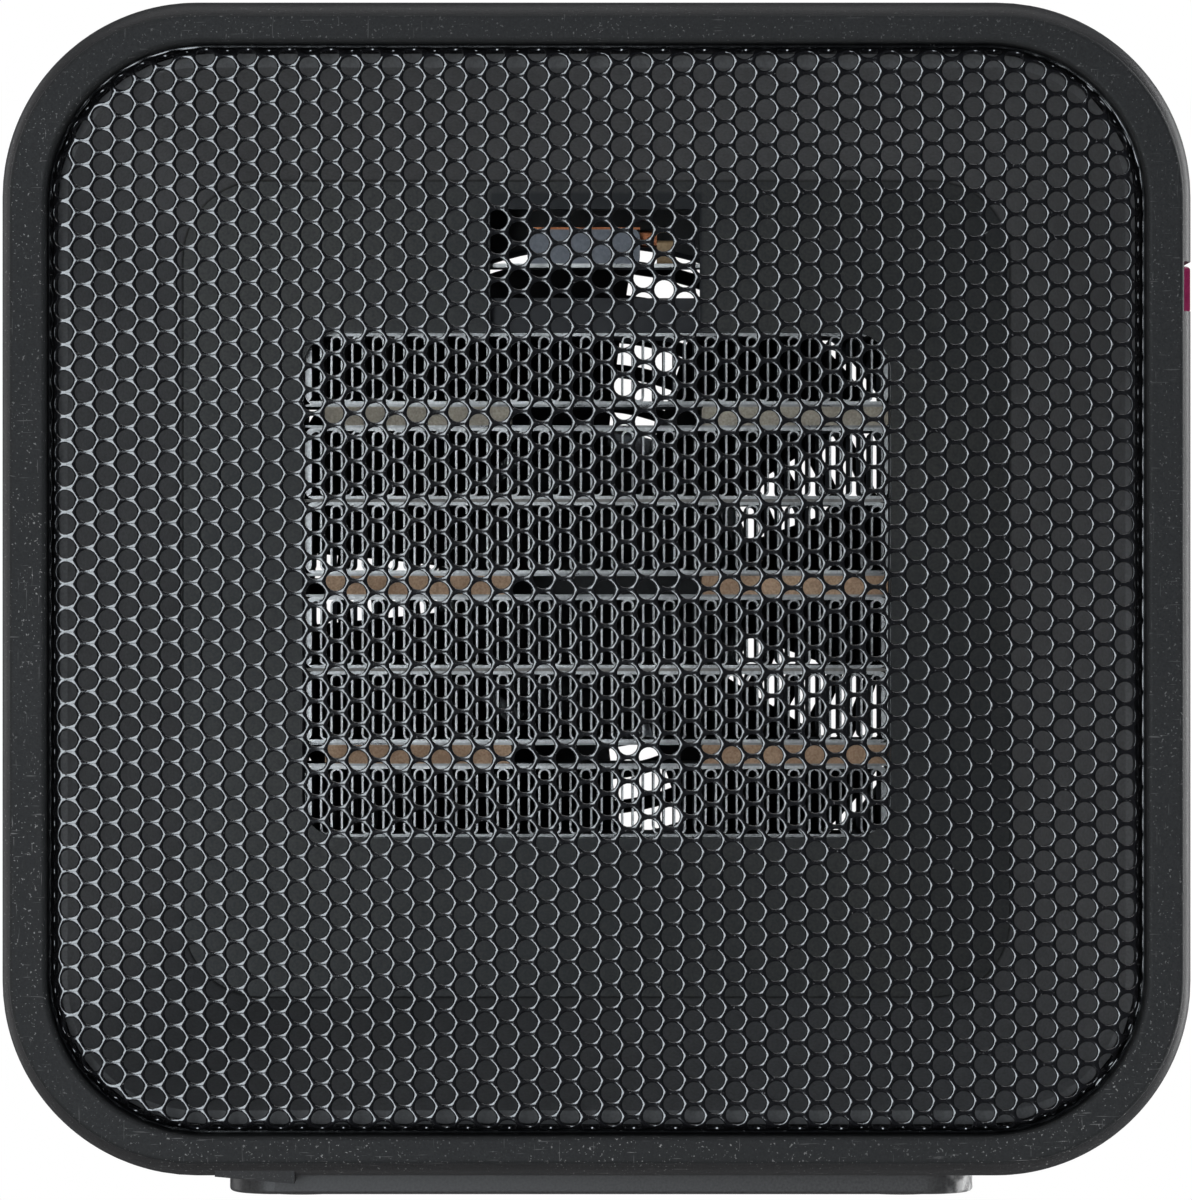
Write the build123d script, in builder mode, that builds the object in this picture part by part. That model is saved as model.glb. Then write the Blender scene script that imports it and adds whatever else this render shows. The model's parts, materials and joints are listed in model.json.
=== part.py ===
from build123d import *

import os
from math import acos, ceil, cos, hypot, radians, sin, sqrt

# A small free-standing ceramic fan heater. The front looks along -Y, +X is to its right, +Z is up,
# and the origin is on the standing surface under the middle of the body. All sizes are millimetres.

os.makedirs("parts", exist_ok=True)

# Casing
casing_width = 149.4
casing_height = 147.5
casing_radius = 24.5
casing_wall = 2.2
casing_bottom = 3.0  # height of the casing's underside over the standing surface
overall_depth = 84.0
lip_fillet = 3.0
lip_setback = 2.0  # the casing's front lip lies this far behind the bezel's face

# Front bezel and grille
bezel_width = 147.0
bezel_height = 143.9
bezel_radius = 23.2
bezel_ring_depth = 4.5
bezel_edge_fillet = 0.6
opening_width = 137.8
opening_height = 137.0
opening_radius = 20.0
spigot_wall = 2.0
spigot_length = 4.0
slide_clearance = 0.15  # between parts that slide into each other
grille_gap = 0.6  # between the grille and the rim of the bezel's opening
grille_recess = 1.4
grille_sheet = 0.6
grille_bend = 1.4
grille_pitch = 3.0
grille_hole = 2.45
grille_tilt = 0.65  # the sheet is cut a little askew to its pattern
grille_strip_columns = 8  # columns of holes in each strip that the flat front is made of
lip_clearance = 0.2

# Duct panel: flange, sloping walls, flat floor, corner posts
flange_thickness = 2.0
funnel_mouth_margin = 3.6  # from the flange's edge to the mouth of the sloping walls
funnel_wall = 1.8
funnel_depth = 17.9
floor_width = 106.2
floor_height = 104.8
floor_radius = 10.0
floor_thickness = 2.0
window_width = 75.7
window_height = 65.1
window_radius = 5.0
notch_width = 27.0
notch_height = 15.8
notch_centre = -0.2
catch_length = 10.0
catch_width = 1.2
catch_reach = 0.8
catch_play = 0.2
catch_offset = 34.0
post_x = 57.5
post_z = 56.5
post_front_radius = 4.0
post_rear_radius = 3.0
post_end = 37.0

# Heating element
element_rise = 0.5  # how far the element and its window sit over the middle of the casing
element_front = -16.9
element_depth = 15.0
fin_cells = 55
fin_spacing = 1.34
fin_sheet = 0.25
fin_plate = 0.4
fin_bite = 0.08  # how far a crest is brazed into its plate
fin_row_height = 9.2
fin_end_wall = 0.85
fin_end_radius = 1.2
stone_length = 24.0
stone_height = 2.4
stone_left = -23.0
stone_right = 25.6
contact_thickness = 0.3
contact_tongue = 3.0
contact_tab = 9.0
contact_tab_depth = 4.8
separator_thickness = 0.4
frame_bar = 4.4
frame_side = 4.8
frame_clearance = 0.1
frame_lug = 6.0
frame_lug_width = 8.0
frame_lug_thickness = 3.0
frame_lug_height = 21.0
boss_radius = 2.6
screw_pilot = 0.85
small_screw_radius = 1.1
small_head_radius = 2.1
small_head_height = 1.4
screw_play = 0.1  # between a screw and the hole it passes through
thread_play = 0.05  # between a screw and the hole it is driven into
screw_cross_reach = 0.7  # of a head's radius
screw_cross_width = 0.28  # of a head's radius

# Thermal cut-out in the notch over the element
cutout_width = 14.5
cutout_height = 4.4
cutout_depth = 8.0
cutout_left = -8.9
strip_thickness = 0.5
strip_height = 41.7
strip_depth = 6.0
leaf_thickness = 0.3
crimp_width = 2.2
bead_width = 2.2

# Fan and its shroud
fan_radius = 44.0
fan_front = 1.0
hub_radius = 19.0
hub_length = 9.8
hub_wall = 1.6
hub_dome = 2.0
hub_boss_radius = 3.6
hub_boss_end = 12.0
blade_count = 7
blade_front = 1.6
blade_depth = 10.2
blade_thickness = 1.3
blade_root_half_angle = 18.0
blade_tip_half_angle = 20.5
blade_camber = 1.6
shroud_gap = 1.6
shroud_ring_wall = 1.8
shroud_ring_end = 13.0
shroud_front = 0.0
shroud_thickness = 2.0
shroud_width = 126.0
shroud_height = 124.0
shroud_radius = 12.0
sleeve_wall = 1.5
sleeve_play = 0.15

# Motor
motor_front = 16.0
motor_rear = 36.0
motor_radius = 13.8
motor_wall = 0.8
motor_cap_depth = 2.5
motor_nose_radius = 3.7
motor_nose_length = 1.5
bush_radius = 2.9
bush_length = 3.6
shaft_radius = 1.15
bearing_clearance = 0.03
shaft_front = 3.4
shaft_end = 37.2
magnet_thickness = 1.9
magnet_length = 13.0
magnet_half_angle = 60.0
core_gap = 0.4
core_length = 8.0
core_hub_radius = 3.4
pole_shoe = 1.6
pole_width = 3.4
pole_half_angle = 50.0
pole_count = 3
winding_thickness = 1.5
winding_gap = 0.1
commutator_radius = 2.7
commutator_length = 3.6
brush_gap = 0.3
brush_width = 1.6
brush_reach = 5.0
mount_thickness = 2.5
mount_radius = 21.3
mount_screw_circle = 17.6
pillar_radius = 3.0
motor_screw_circle = 8.5

# Rear cover
cover_front = 34.0
cover_plate = 2.4
cover_fillet = 5.0
cover_tongue = 3.0
cover_tongue_wall = 1.8
slot_width = 3.0
slot_pitch = 4.8
slot_inner = 21.5
slot_rings = 6
spoke_count = 3  # each runs right across, so it makes two ribs
spoke_width = 3.0
blank_width = 30.0  # two broad plain ribs, one of them for a rating plate
blank_angles = (128.0, 232.0)
rear_screw_radius = 1.5
rear_head_radius = 2.8
rear_head_height = 2.0
rear_head_recess = 2.6
rear_screw_length = 10.0
grommet_x = 30.0
grommet_drop = 60.0
grommet_radius = 5.0
grommet_flange = 1.5
grommet_flange_height = 1.2
grommet_bore = 3.2

# Foot
foot_width = 94.4
foot_depth = 68.0
foot_radius = 6.0
foot_shift = 0.6
foot_edge = 0.5
pad_radius = 6.0
pad_thickness = 1.5
pad_proud = 0.3
pad_x = 38.0
pad_y = 25.0
foot_screw_x = 24.0
foot_screw_y = 25.0
foot_boss_height = 6.0
foot_boss_radius = 3.6
wedge_left = -47.9
wedge_length = 10.0
wedge_drop = 0.9
wedge_depth = 4.6

# Rocker switch
rocker_height = 38.0  # over the middle of the casing
rocker_y = -22.5
rocker_pivot_x = 70.3
rocker_half_length = 7.0
rocker_width = 6.0
rocker_end_rise = 4.25
rocker_middle_rise = 3.0
rocker_tilt = 7.5
rocker_edge = 0.5
trunnion_radius = 0.8
trunnion_clearance = 0.06
switch_play = 0.3
rocker_side_play = 0.12  # between the rocker and the recess above and below it
switch_swing = 0.5  # how much longer the tilted rocker is than the flat one
switch_wall = 1.0
switch_cheek = 1.4
switch_floor = 1.7
switch_depth = 7.0
cradle_wall = 1.6
cradle_reach = 5.0
terminal_width = 4.0
terminal_thickness = 0.8
terminal_length = 6.6
terminal_spacing = 4.4

# Wiring
lead_radius = 0.9
block_length = 18.0
block_width = 9.0
block_height = 8.0
block_x = 30.0
block_y = 10.0
board_x = -24.0
board_drop = 60.0
board_width = 20.0
board_height = 12.0
board_thickness = 1.2
standoff_radius = 2.2
standoff_pin = 1.0
standoff_length = 2.0
diode_radius = 1.3
diode_length = 5.0

# Places that follow from the sizes
centre_height = casing_bottom + casing_height / 2
front_face = -overall_depth / 2
rear_face = overall_depth / 2
lip_front = front_face + lip_setback
ledge = front_face + bezel_ring_depth
inner_width = casing_width - 2 * casing_wall
inner_height = casing_height - 2 * casing_wall
inner_radius = casing_radius - casing_wall
spigot_width = inner_width - 2 * slide_clearance
spigot_height = inner_height - 2 * slide_clearance
spigot_radius = inner_radius - slide_clearance
spigot_inner_width = spigot_width - 2 * spigot_wall
spigot_inner_height = spigot_height - 2 * spigot_wall
spigot_inner_radius = spigot_radius - spigot_wall
flange_width = spigot_inner_width - 2 * lip_clearance
flange_height = spigot_inner_height - 2 * lip_clearance
flange_radius = spigot_inner_radius - lip_clearance
grille_width = opening_width - 2 * grille_gap
grille_height = opening_height - 2 * grille_gap
grille_radius = opening_radius - grille_gap
grille_front = front_face + grille_recess
grille_column = grille_pitch * sqrt(3) / 2
flange_front = ledge + grille_sheet
flange_back = flange_front + flange_thickness
mouth_width = flange_width - 2 * funnel_mouth_margin
mouth_height = flange_height - 2 * funnel_mouth_margin
mouth_radius = flange_radius - funnel_mouth_margin
floor_front = flange_front + funnel_depth
floor_back = floor_front + floor_thickness
catch_front = flange_front + (flange_thickness - catch_width) / 2
element_back = element_front + element_depth
sandwich_height = 2 * fin_row_height + stone_height + 2 * contact_thickness
stack_height = 3 * sandwich_height + 2 * separator_thickness
fin_half_width = fin_cells * fin_spacing / 2 - fin_sheet / 2 + fin_end_wall
frame_inner_x = fin_half_width + frame_clearance
frame_inner_z = stack_height / 2 + frame_clearance
frame_outer_x = frame_inner_x + frame_side
frame_outer_z = frame_inner_z + frame_bar
shroud_inner = fan_radius + shroud_gap
shroud_outer = shroud_inner + shroud_ring_wall
sleeve_inner = post_rear_radius + sleeve_play
sleeve_outer = sleeve_inner + sleeve_wall
cover_inner = rear_face - cover_plate
can_inner = motor_radius - motor_wall
magnet_inner = can_inner - magnet_thickness
core_radius = magnet_inner - core_gap
mount_front = motor_front - mount_thickness
switch_z = centre_height + rocker_height
switch_half = rocker_half_length + switch_swing + switch_play
switch_outer = casing_width / 2 - casing_wall
cavity_half_z = rocker_width / 2 + rocker_side_play
switch_half_z = cavity_half_z + switch_cheek
switch_inner = switch_outer - switch_depth + switch_floor


def facing(y, x=0.0, z=centre_height):
    """A plane across the body at depth y, drawn as seen from the front, that extrudes forwards."""
    return Plane(origin=(x, y, z), x_dir=(1, 0, 0), z_dir=(0, -1, 0))


def level(z, x=0.0, y=0.0):
    """A plane parallel to the standing surface at height z, that extrudes upwards."""
    return Plane(origin=(x, y, z), x_dir=(1, 0, 0), z_dir=(0, 0, 1))


corners = [(sx, sz) for sx in (-1, 1) for sz in (-1, 1)]
post_places = [(sx * post_x, sz * post_z) for sx, sz in corners]
lug_places = [
    (sx * (frame_outer_x + frame_lug / 2), element_rise + sz * frame_lug_height) for sx, sz in corners
]
foot_screw_places = [(sx * foot_screw_x + foot_shift, sy * foot_screw_y) for sx, sy in corners]
pad_places = [(sx * pad_x + foot_shift, sy * pad_y) for sx, sy in corners]
pillar_places = [
    (mount_screw_circle * cos(radians(a)), mount_screw_circle * sin(radians(a)))
    for a in (90, 210, 330)
]
motor_screw_places = [(sx * motor_screw_circle, 0) for sx in (-1, 1)]

# Main housing: the sleeve that the front and rear close
with BuildPart() as main_housing:
    with BuildSketch(facing(cover_front)):
        RectangleRounded(casing_width, casing_height, casing_radius)
    extrude(amount=cover_front - lip_front)
    fillet(main_housing.faces().sort_by(Axis.Y)[0].outer_wire().edges(), lip_fillet)
    with BuildSketch(facing(cover_front)):
        RectangleRounded(inner_width, inner_height, inner_radius)
    extrude(amount=cover_front - lip_front, mode=Mode.SUBTRACT)
    with BuildSketch(facing(ledge)):
        RectangleRounded(
            bezel_width + 2 * slide_clearance,
            bezel_height + 2 * slide_clearance,
            bezel_radius + slide_clearance,
        )
    extrude(amount=ledge - lip_front, mode=Mode.SUBTRACT)
    # bosses for the foot's screws
    with BuildSketch(level(casing_bottom + casing_wall / 2)):
        with Locations(*foot_screw_places):
            Circle(foot_boss_radius)
    extrude(amount=casing_wall / 2 + foot_boss_height)
    with BuildSketch(level(casing_bottom)):
        with Locations(*foot_screw_places):
            Circle(screw_pilot + thread_play)
    extrude(amount=casing_wall + foot_boss_height - 1, mode=Mode.SUBTRACT)
    # wedge tab under the front edge
    with BuildSketch(facing(lip_front + 1 + wedge_depth, z=0)):
        with BuildLine():
            Polyline(
                (wedge_left, casing_bottom),
                (wedge_left + wedge_length, casing_bottom - wedge_drop),
                (wedge_left + wedge_length, casing_bottom + casing_wall / 2),
                (wedge_left, casing_bottom + casing_wall / 2),
                close=True,
            )
        make_face()
    extrude(amount=wedge_depth)
    # cradle for the switch body
    with BuildSketch(level(switch_z, switch_outer + casing_wall / 2, rocker_y)):
        Rectangle(
            casing_wall / 2 + cradle_reach,
            2 * (switch_half + switch_wall),
            align=(Align.MAX, Align.CENTER),
        )
    extrude(amount=switch_half_z + slide_clearance + cradle_wall, both=True)
    with BuildSketch(level(switch_z, switch_outer, rocker_y)):
        Rectangle(
            2 * cradle_reach,
            2 * (switch_half + switch_wall + cradle_reach),
            align=(Align.MAX, Align.CENTER),
        )
    extrude(amount=switch_half_z + slide_clearance, both=True, mode=Mode.SUBTRACT)
    # recess from the front lip to the back of the rocker
    recess_back = rocker_y + switch_half
    with BuildSketch(level(switch_z, switch_outer, recess_back)):
        Rectangle(
            4 * casing_wall,
            recess_back - lip_front + lip_setback,
            align=(Align.CENTER, Align.MAX),
        )
    extrude(amount=cavity_half_z, both=True, mode=Mode.SUBTRACT)
main_housing.part.label = "main_housing"
export_step(main_housing.part, "parts/main_housing.step")

# Front bezel
with BuildPart() as front_bezel:
    with BuildSketch(facing(ledge)):
        RectangleRounded(bezel_width, bezel_height, bezel_radius)
        RectangleRounded(opening_width, opening_height, opening_radius, mode=Mode.SUBTRACT)
    extrude(amount=bezel_ring_depth)
    fillet(front_bezel.faces().sort_by(Axis.Y)[0].edges(), bezel_edge_fillet)
    with BuildSketch(facing(ledge + spigot_length)):
        RectangleRounded(spigot_width, spigot_height, spigot_radius)
        RectangleRounded(
            spigot_inner_width, spigot_inner_height, spigot_inner_radius, mode=Mode.SUBTRACT
        )
    extrude(amount=spigot_length)
    # windows for the duct panel's catches
    window_depth = catch_width + 2 * catch_play
    for sign in (-1, 1):
        with BuildSketch(facing(catch_front + catch_width + catch_play)):
            with Locations((sign * catch_offset, 0)):
                Rectangle(catch_length + 2 * catch_play, casing_height)
            with Locations((0, sign * catch_offset)):
                Rectangle(casing_width, catch_length + 2 * catch_play)
        extrude(amount=window_depth, mode=Mode.SUBTRACT)
front_bezel.part.label = "front_bezel"
export_step(front_bezel.part, "parts/front_bezel.step")


def inside_rounded(u, v, half_width, half_height, radius):
    """Whether a point lies inside a rounded rectangle about the origin."""
    past_x = abs(u) - (half_width - radius)
    past_z = abs(v) - (half_height - radius)
    if past_x > 0 and past_z > 0:
        return hypot(past_x, past_z) < radius
    return abs(u) < half_width and abs(v) < half_height


def perforation(half_width, half_height, radius):
    """Centres of a staggered hole pattern, turned by the sheet's tilt, inside a rounded rectangle."""
    columns = ceil(half_width / grille_column) + 2
    rows = ceil(half_height / grille_pitch) + 2
    turn = radians(grille_tilt)
    spots = []
    for column in range(-columns, columns + 1):
        for row in range(-rows, rows + 1):
            x = (column + 1 / 2) * grille_column
            z = (row + (column % 2) / 2) * grille_pitch
            u = x * cos(turn) - z * sin(turn)
            v = x * sin(turn) + z * cos(turn)
            if inside_rounded(u, v, half_width, half_height, radius):
                spots.append((u, v))
    return spots


# Perforated front grille: a shallow pan with a turned-out lip, its flat front made in upright strips
flat_inset = grille_bend + grille_sheet / 2
flat_width = grille_width - 2 * flat_inset
flat_height = grille_height - 2 * flat_inset
flat_radius = grille_radius - flat_inset
hole_margin = grille_hole / 2
hole_spots = perforation(
    flat_width / 2 - hole_margin, flat_height / 2 - hole_margin, flat_radius - hole_margin
)
strip_width = grille_strip_columns * grille_column
tilted_reach = flat_width / 2 + (flat_height / 2 - flat_radius) * abs(sin(radians(grille_tilt)))
strip_count = 2 * ceil(tilted_reach / strip_width - 1 / 2) + 1


def column_of(u, v):
    """The number of the upright column, in the tilted pattern, that a hole belongs to."""
    turn = radians(grille_tilt)
    return round((u * cos(turn) + v * sin(turn)) / grille_column - 1 / 2)


with BuildPart() as front_grille:
    with BuildSketch(facing(ledge + grille_sheet)):
        RectangleRounded(flange_width, flange_height, flange_radius)
    extrude(amount=grille_sheet)
    with BuildSketch(facing(ledge + grille_sheet)):
        RectangleRounded(grille_width, grille_height, grille_radius)
    extrude(amount=ledge + grille_sheet - grille_front)
    fillet(front_grille.faces().sort_by(Axis.Y)[0].edges(), grille_bend)
    with BuildSketch(facing(ledge + grille_sheet)):
        RectangleRounded(
            grille_width - 2 * grille_sheet,
            grille_height - 2 * grille_sheet,
            grille_radius - grille_sheet,
        )
    extrude(amount=ledge - grille_front, mode=Mode.SUBTRACT)
    with BuildSketch(facing(grille_front + grille_sheet)):
        RectangleRounded(flat_width, flat_height, flat_radius)
    extrude(amount=grille_sheet, mode=Mode.SUBTRACT)
    for strip in range(strip_count):
        first_column = (strip - strip_count // 2) * grille_strip_columns - grille_strip_columns // 2
        middle = (first_column + grille_strip_columns / 2) * grille_column
        with BuildSketch(mode=Mode.PRIVATE) as strip_outline:
            RectangleRounded(flat_width, flat_height, flat_radius)
            with Locations(Location((0, 0, 0), (0, 0, grille_tilt)) * Location((middle, 0, 0))):
                Rectangle(strip_width, 2 * flat_height, mode=Mode.INTERSECT)
        strip_holes = [
            Wire.make_circle(grille_hole / 2, Plane(origin=(u, v, 0)))
            for u, v in hole_spots
            if first_column <= column_of(u, v) < first_column + grille_strip_columns
        ]
        with BuildSketch(facing(grille_front + grille_sheet)):
            add(Face(strip_outline.sketch.faces()[0].outer_wire(), strip_holes))
        extrude(amount=grille_sheet, clean=False)
front_grille.part.label = "front_grille"
export_step(front_grille.part, "parts/front_grille.step")

# Duct panel: flange, sloping walls, floor with the element's window, and corner posts
with BuildPart() as duct_panel:
    with BuildSketch(facing(flange_back)):
        RectangleRounded(flange_width, flange_height, flange_radius)
    extrude(amount=flange_thickness)
    slope = (mouth_width - floor_width) / 2 / funnel_depth
    skin = funnel_wall * sqrt(1 + slope * slope)
    with BuildSketch(facing(flange_front)):
        RectangleRounded(mouth_width + 2 * skin, mouth_height + 2 * skin, mouth_radius + skin)
    with BuildSketch(facing(floor_back)):
        RectangleRounded(floor_width + skin, floor_height + skin, floor_radius + skin / 2)
    loft(ruled=True)
    with BuildSketch(facing(flange_front)):
        RectangleRounded(mouth_width, mouth_height, mouth_radius)
    with BuildSketch(facing(floor_front)):
        RectangleRounded(floor_width, floor_height, floor_radius)
    loft(ruled=True, mode=Mode.SUBTRACT)
    # window and notch
    with BuildSketch(facing(floor_back)):
        with Locations((0, element_rise)):
            RectangleRounded(window_width, window_height, window_radius)
        with Locations((notch_centre, element_rise + window_height / 2)):
            Rectangle(notch_width, notch_height, align=(Align.CENTER, Align.MIN))
    extrude(amount=floor_thickness, mode=Mode.SUBTRACT)
    # lugs and posts
    with BuildSketch(facing(floor_back)):
        with Locations(*post_places):
            Circle(post_front_radius)
        for sx, sz in corners:
            arm = (sx * (post_x + floor_width / 2) / 2, sz * (post_z + floor_height / 2) / 2)
            with Locations(arm):
                Rectangle(post_x - floor_width / 2 + 4 * floor_thickness, 2 * post_front_radius)
    extrude(amount=floor_thickness)
    with BuildSketch(facing(shroud_front)):
        with Locations(*post_places):
            Circle(post_front_radius)
    extrude(amount=shroud_front - floor_back)
    with BuildSketch(facing(post_end)):
        with Locations(*post_places):
            Circle(post_rear_radius)
    extrude(amount=post_end - shroud_front)
    with BuildSketch(facing(post_end)):
        with Locations(*post_places):
            Circle(rear_screw_radius + thread_play)
    extrude(amount=rear_screw_length, mode=Mode.SUBTRACT)
    # bosses for the element frame
    with BuildSketch(facing(floor_back + frame_lug_thickness)):
        with Locations(*lug_places):
            Circle(boss_radius)
    extrude(amount=frame_lug_thickness)
    with BuildSketch(facing(floor_back + frame_lug_thickness)):
        with Locations(*lug_places):
            Circle(screw_pilot + thread_play)
    extrude(amount=frame_lug_thickness, mode=Mode.SUBTRACT)
    # catches on the flange's edge
    with BuildSketch(facing(catch_front + catch_width)):
        for sign in (-1, 1):
            with Locations((sign * catch_offset, 0)):
                Rectangle(catch_length, flange_height + 2 * catch_reach)
            with Locations((0, sign * catch_offset)):
                Rectangle(flange_width + 2 * catch_reach, catch_length)
        RectangleRounded(
            flange_width - catch_reach,
            flange_height - catch_reach,
            flange_radius - catch_reach / 2,
            mode=Mode.SUBTRACT,
        )
    extrude(amount=catch_width)
duct_panel.part.label = "duct_panel"
export_step(duct_panel.part, "parts/duct_panel.step")

# Fan shroud: a plate with a round throat, held between the posts' shoulders and the rear cover
with BuildPart() as fan_shroud:
    with BuildSketch(facing(shroud_front + shroud_thickness)):
        RectangleRounded(shroud_width, shroud_height, shroud_radius)
        with Locations(*post_places):
            Circle(sleeve_inner, mode=Mode.SUBTRACT)
    extrude(amount=shroud_thickness)
    with BuildSketch(facing(shroud_ring_end)):
        Circle(shroud_outer)
    extrude(amount=shroud_ring_end - shroud_front)
    with BuildSketch(facing(shroud_ring_end)):
        Circle(shroud_inner)
    extrude(amount=shroud_ring_end - shroud_front, mode=Mode.SUBTRACT)
    with BuildSketch(facing(post_end)):
        with Locations(*post_places):
            Circle(sleeve_outer)
            Circle(sleeve_inner, mode=Mode.SUBTRACT)
    extrude(amount=post_end - shroud_front - shroud_thickness)
fan_shroud.part.label = "fan_shroud"
export_step(fan_shroud.part, "parts/fan_shroud.step")

# Rear cover with ring-shaped intake slots, screw bosses and pillars for the motor mount
with BuildPart() as rear_cover:
    with BuildSketch(facing(rear_face)):
        RectangleRounded(casing_width, casing_height, casing_radius)
    extrude(amount=rear_face - cover_front)
    fillet(rear_cover.faces().sort_by(Axis.Y)[-1].edges(), cover_fillet)
    with BuildSketch(facing(cover_inner)):
        RectangleRounded(inner_width, inner_height, inner_radius)
    extrude(amount=cover_inner - cover_front, mode=Mode.SUBTRACT)
    with BuildSketch(facing(cover_front + cover_tongue)):
        RectangleRounded(spigot_width, spigot_height, spigot_radius)
        RectangleRounded(
            spigot_width - 2 * cover_tongue_wall,
            spigot_height - 2 * cover_tongue_wall,
            spigot_radius - cover_tongue_wall,
            mode=Mode.SUBTRACT,
        )
    extrude(amount=2 * cover_tongue)
    with BuildSketch(facing(cover_front + cover_tongue)):
        RectangleRounded(
            inner_width + casing_wall, inner_height + casing_wall, inner_radius + casing_wall / 2
        )
        RectangleRounded(
            spigot_width - casing_wall,
            spigot_height - casing_wall,
            spigot_radius - casing_wall / 2,
            mode=Mode.SUBTRACT,
        )
    extrude(amount=cover_tongue)
    with BuildSketch(facing(rear_face)):
        for ring in reversed(range(slot_rings)):
            Circle(slot_inner + ring * slot_pitch + slot_width)
            Circle(slot_inner + ring * slot_pitch, mode=Mode.SUBTRACT)
        for spoke in range(spoke_count):
            with Locations(Location((0, 0, 0), (0, 0, 30 + spoke * 180 / spoke_count))):
                Rectangle(spoke_width, casing_height, mode=Mode.SUBTRACT)
        for angle in blank_angles:
            with Locations(Location((0, 0, 0), (0, 0, angle))):
                Rectangle(
                    casing_width, blank_width, align=(Align.MIN, Align.CENTER), mode=Mode.SUBTRACT
                )
    extrude(amount=cover_plate, mode=Mode.SUBTRACT)
    with BuildSketch(facing(cover_inner)):
        with Locations(*post_places):
            Circle(sleeve_outer)
    extrude(amount=cover_inner - post_end)
    with BuildSketch(facing(rear_face)):
        with Locations(*post_places):
            Circle(rear_screw_radius + screw_play)
    extrude(amount=rear_face - post_end, mode=Mode.SUBTRACT)
    with BuildSketch(facing(rear_face)):
        with Locations(*post_places):
            Circle(rear_head_radius + 2 * screw_play)
    extrude(amount=rear_head_recess, mode=Mode.SUBTRACT)
    with BuildSketch(facing(cover_inner)):
        with Locations(*pillar_places):
            Circle(pillar_radius)
    extrude(amount=cover_inner - motor_front)
    with BuildSketch(facing(motor_front + 2 * mount_thickness)):
        with Locations(*pillar_places):
            Circle(screw_pilot + thread_play)
    extrude(amount=2 * mount_thickness, mode=Mode.SUBTRACT)
    with BuildSketch(facing(rear_face)):
        with Locations((grommet_x, -grommet_drop)):
            Circle(grommet_radius)
    extrude(amount=cover_plate, mode=Mode.SUBTRACT)
    with BuildSketch(facing(rear_face)):
        with Locations((grommet_x, -grommet_drop)):
            Circle(grommet_radius + grommet_flange + screw_play)
    extrude(amount=grommet_flange_height, mode=Mode.SUBTRACT)
    # standoffs for the rectifier board
    board_places = [
        (board_x + side * (board_width / 2 - standoff_radius), -board_drop) for side in (-1, 1)
    ]
    with BuildSketch(facing(cover_inner)):
        with Locations(*board_places):
            Circle(standoff_radius)
    extrude(amount=standoff_length)
    with BuildSketch(facing(cover_inner - standoff_length)):
        with Locations(*board_places):
            Circle(standoff_pin)
    extrude(amount=2 * board_thickness)
rear_cover.part.label = "rear_cover"
export_step(rear_cover.part, "parts/rear_cover.step")


def screws(name, places, shank, head, head_height, seat, length, forwards=True):
    """A set of like pan-head screws along the depth: heads on their seat, shanks running on from it."""
    sign = 1 if forwards else -1
    with BuildPart() as screw_set:
        with BuildSketch(facing(seat)):
            with Locations(*places):
                Circle(head)
        extrude(amount=-sign * head_height)
        with BuildSketch(facing(seat)):
            with Locations(*places):
                Circle(shank)
        extrude(amount=sign * length)
        with BuildSketch(facing(seat + sign * head_height)):
            with Locations(*places):
                Rectangle(2 * head * screw_cross_reach, head * screw_cross_width)
                Rectangle(head * screw_cross_width, 2 * head * screw_cross_reach)
        extrude(amount=sign * head_height / 2, mode=Mode.SUBTRACT)
    screw_set.part.label = name
    export_step(screw_set.part, f"parts/{name}.step")


screws(
    "rear_screws",
    post_places,
    rear_screw_radius,
    rear_head_radius,
    rear_head_height,
    rear_face - rear_head_recess,
    rear_screw_length,
)
screws(
    "element_screws",
    lug_places,
    screw_pilot,
    small_head_radius,
    small_head_height,
    floor_back + 2 * frame_lug_thickness,
    2 * frame_lug_thickness - 1,
)


def fin_cell(x, low, high, pointing_up):
    """The air cell between two legs of the corrugation, rounded at its crest and flared at its open end."""
    half = (fin_spacing - fin_sheet) / 2
    crest = half + fin_sheet
    foot = sqrt(crest * crest - (crest - fin_bite) ** 2)
    sign = 1 if pointing_up else -1
    start = low if pointing_up else high
    end = high if pointing_up else low
    bend = start + sign * (crest - fin_bite)
    top = end - sign * (fin_sheet - fin_bite)
    shoulder = top - sign * half
    spread = fin_spacing - foot
    # the flares follow the neighbouring crests
    turn = acos(foot / crest) / 2
    flare = (fin_spacing - crest * cos(turn), bend - sign * crest * sin(turn))
    with BuildLine() as outline:
        Line((x - spread, start), (x + spread, start))
        ThreePointArc((x + spread, start), (x + flare[0], flare[1]), (x + half, bend))
        Line((x + half, bend), (x + half, shoulder))
        ThreePointArc((x + half, shoulder), (x, top), (x - half, shoulder))
        Line((x - half, shoulder), (x - half, bend))
        ThreePointArc((x - half, bend), (x - flare[0], flare[1]), (x - spread, start))
    return Wire(outline.edges())


def fin_row(name, z):
    """One row of corrugated fins brazed between two plates, centred at height z over the middle."""
    with BuildSketch() as row_outline:
        RectangleRounded(2 * fin_half_width, fin_row_height, fin_end_radius)
    half_cells = (fin_row_height - 2 * fin_plate) / 2
    cells = [
        fin_cell((i - (fin_cells - 1) / 2) * fin_spacing, -half_cells, half_cells, i % 2 == 0)
        for i in range(fin_cells)
    ]
    with BuildPart() as row:
        with BuildSketch(facing(element_back, z=centre_height + z)):
            add(Face(row_outline.sketch.faces()[0].outer_wire(), cells))
        extrude(amount=element_depth)
    row.part.label = name
    export_step(row.part, f"parts/{name}.step")


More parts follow.
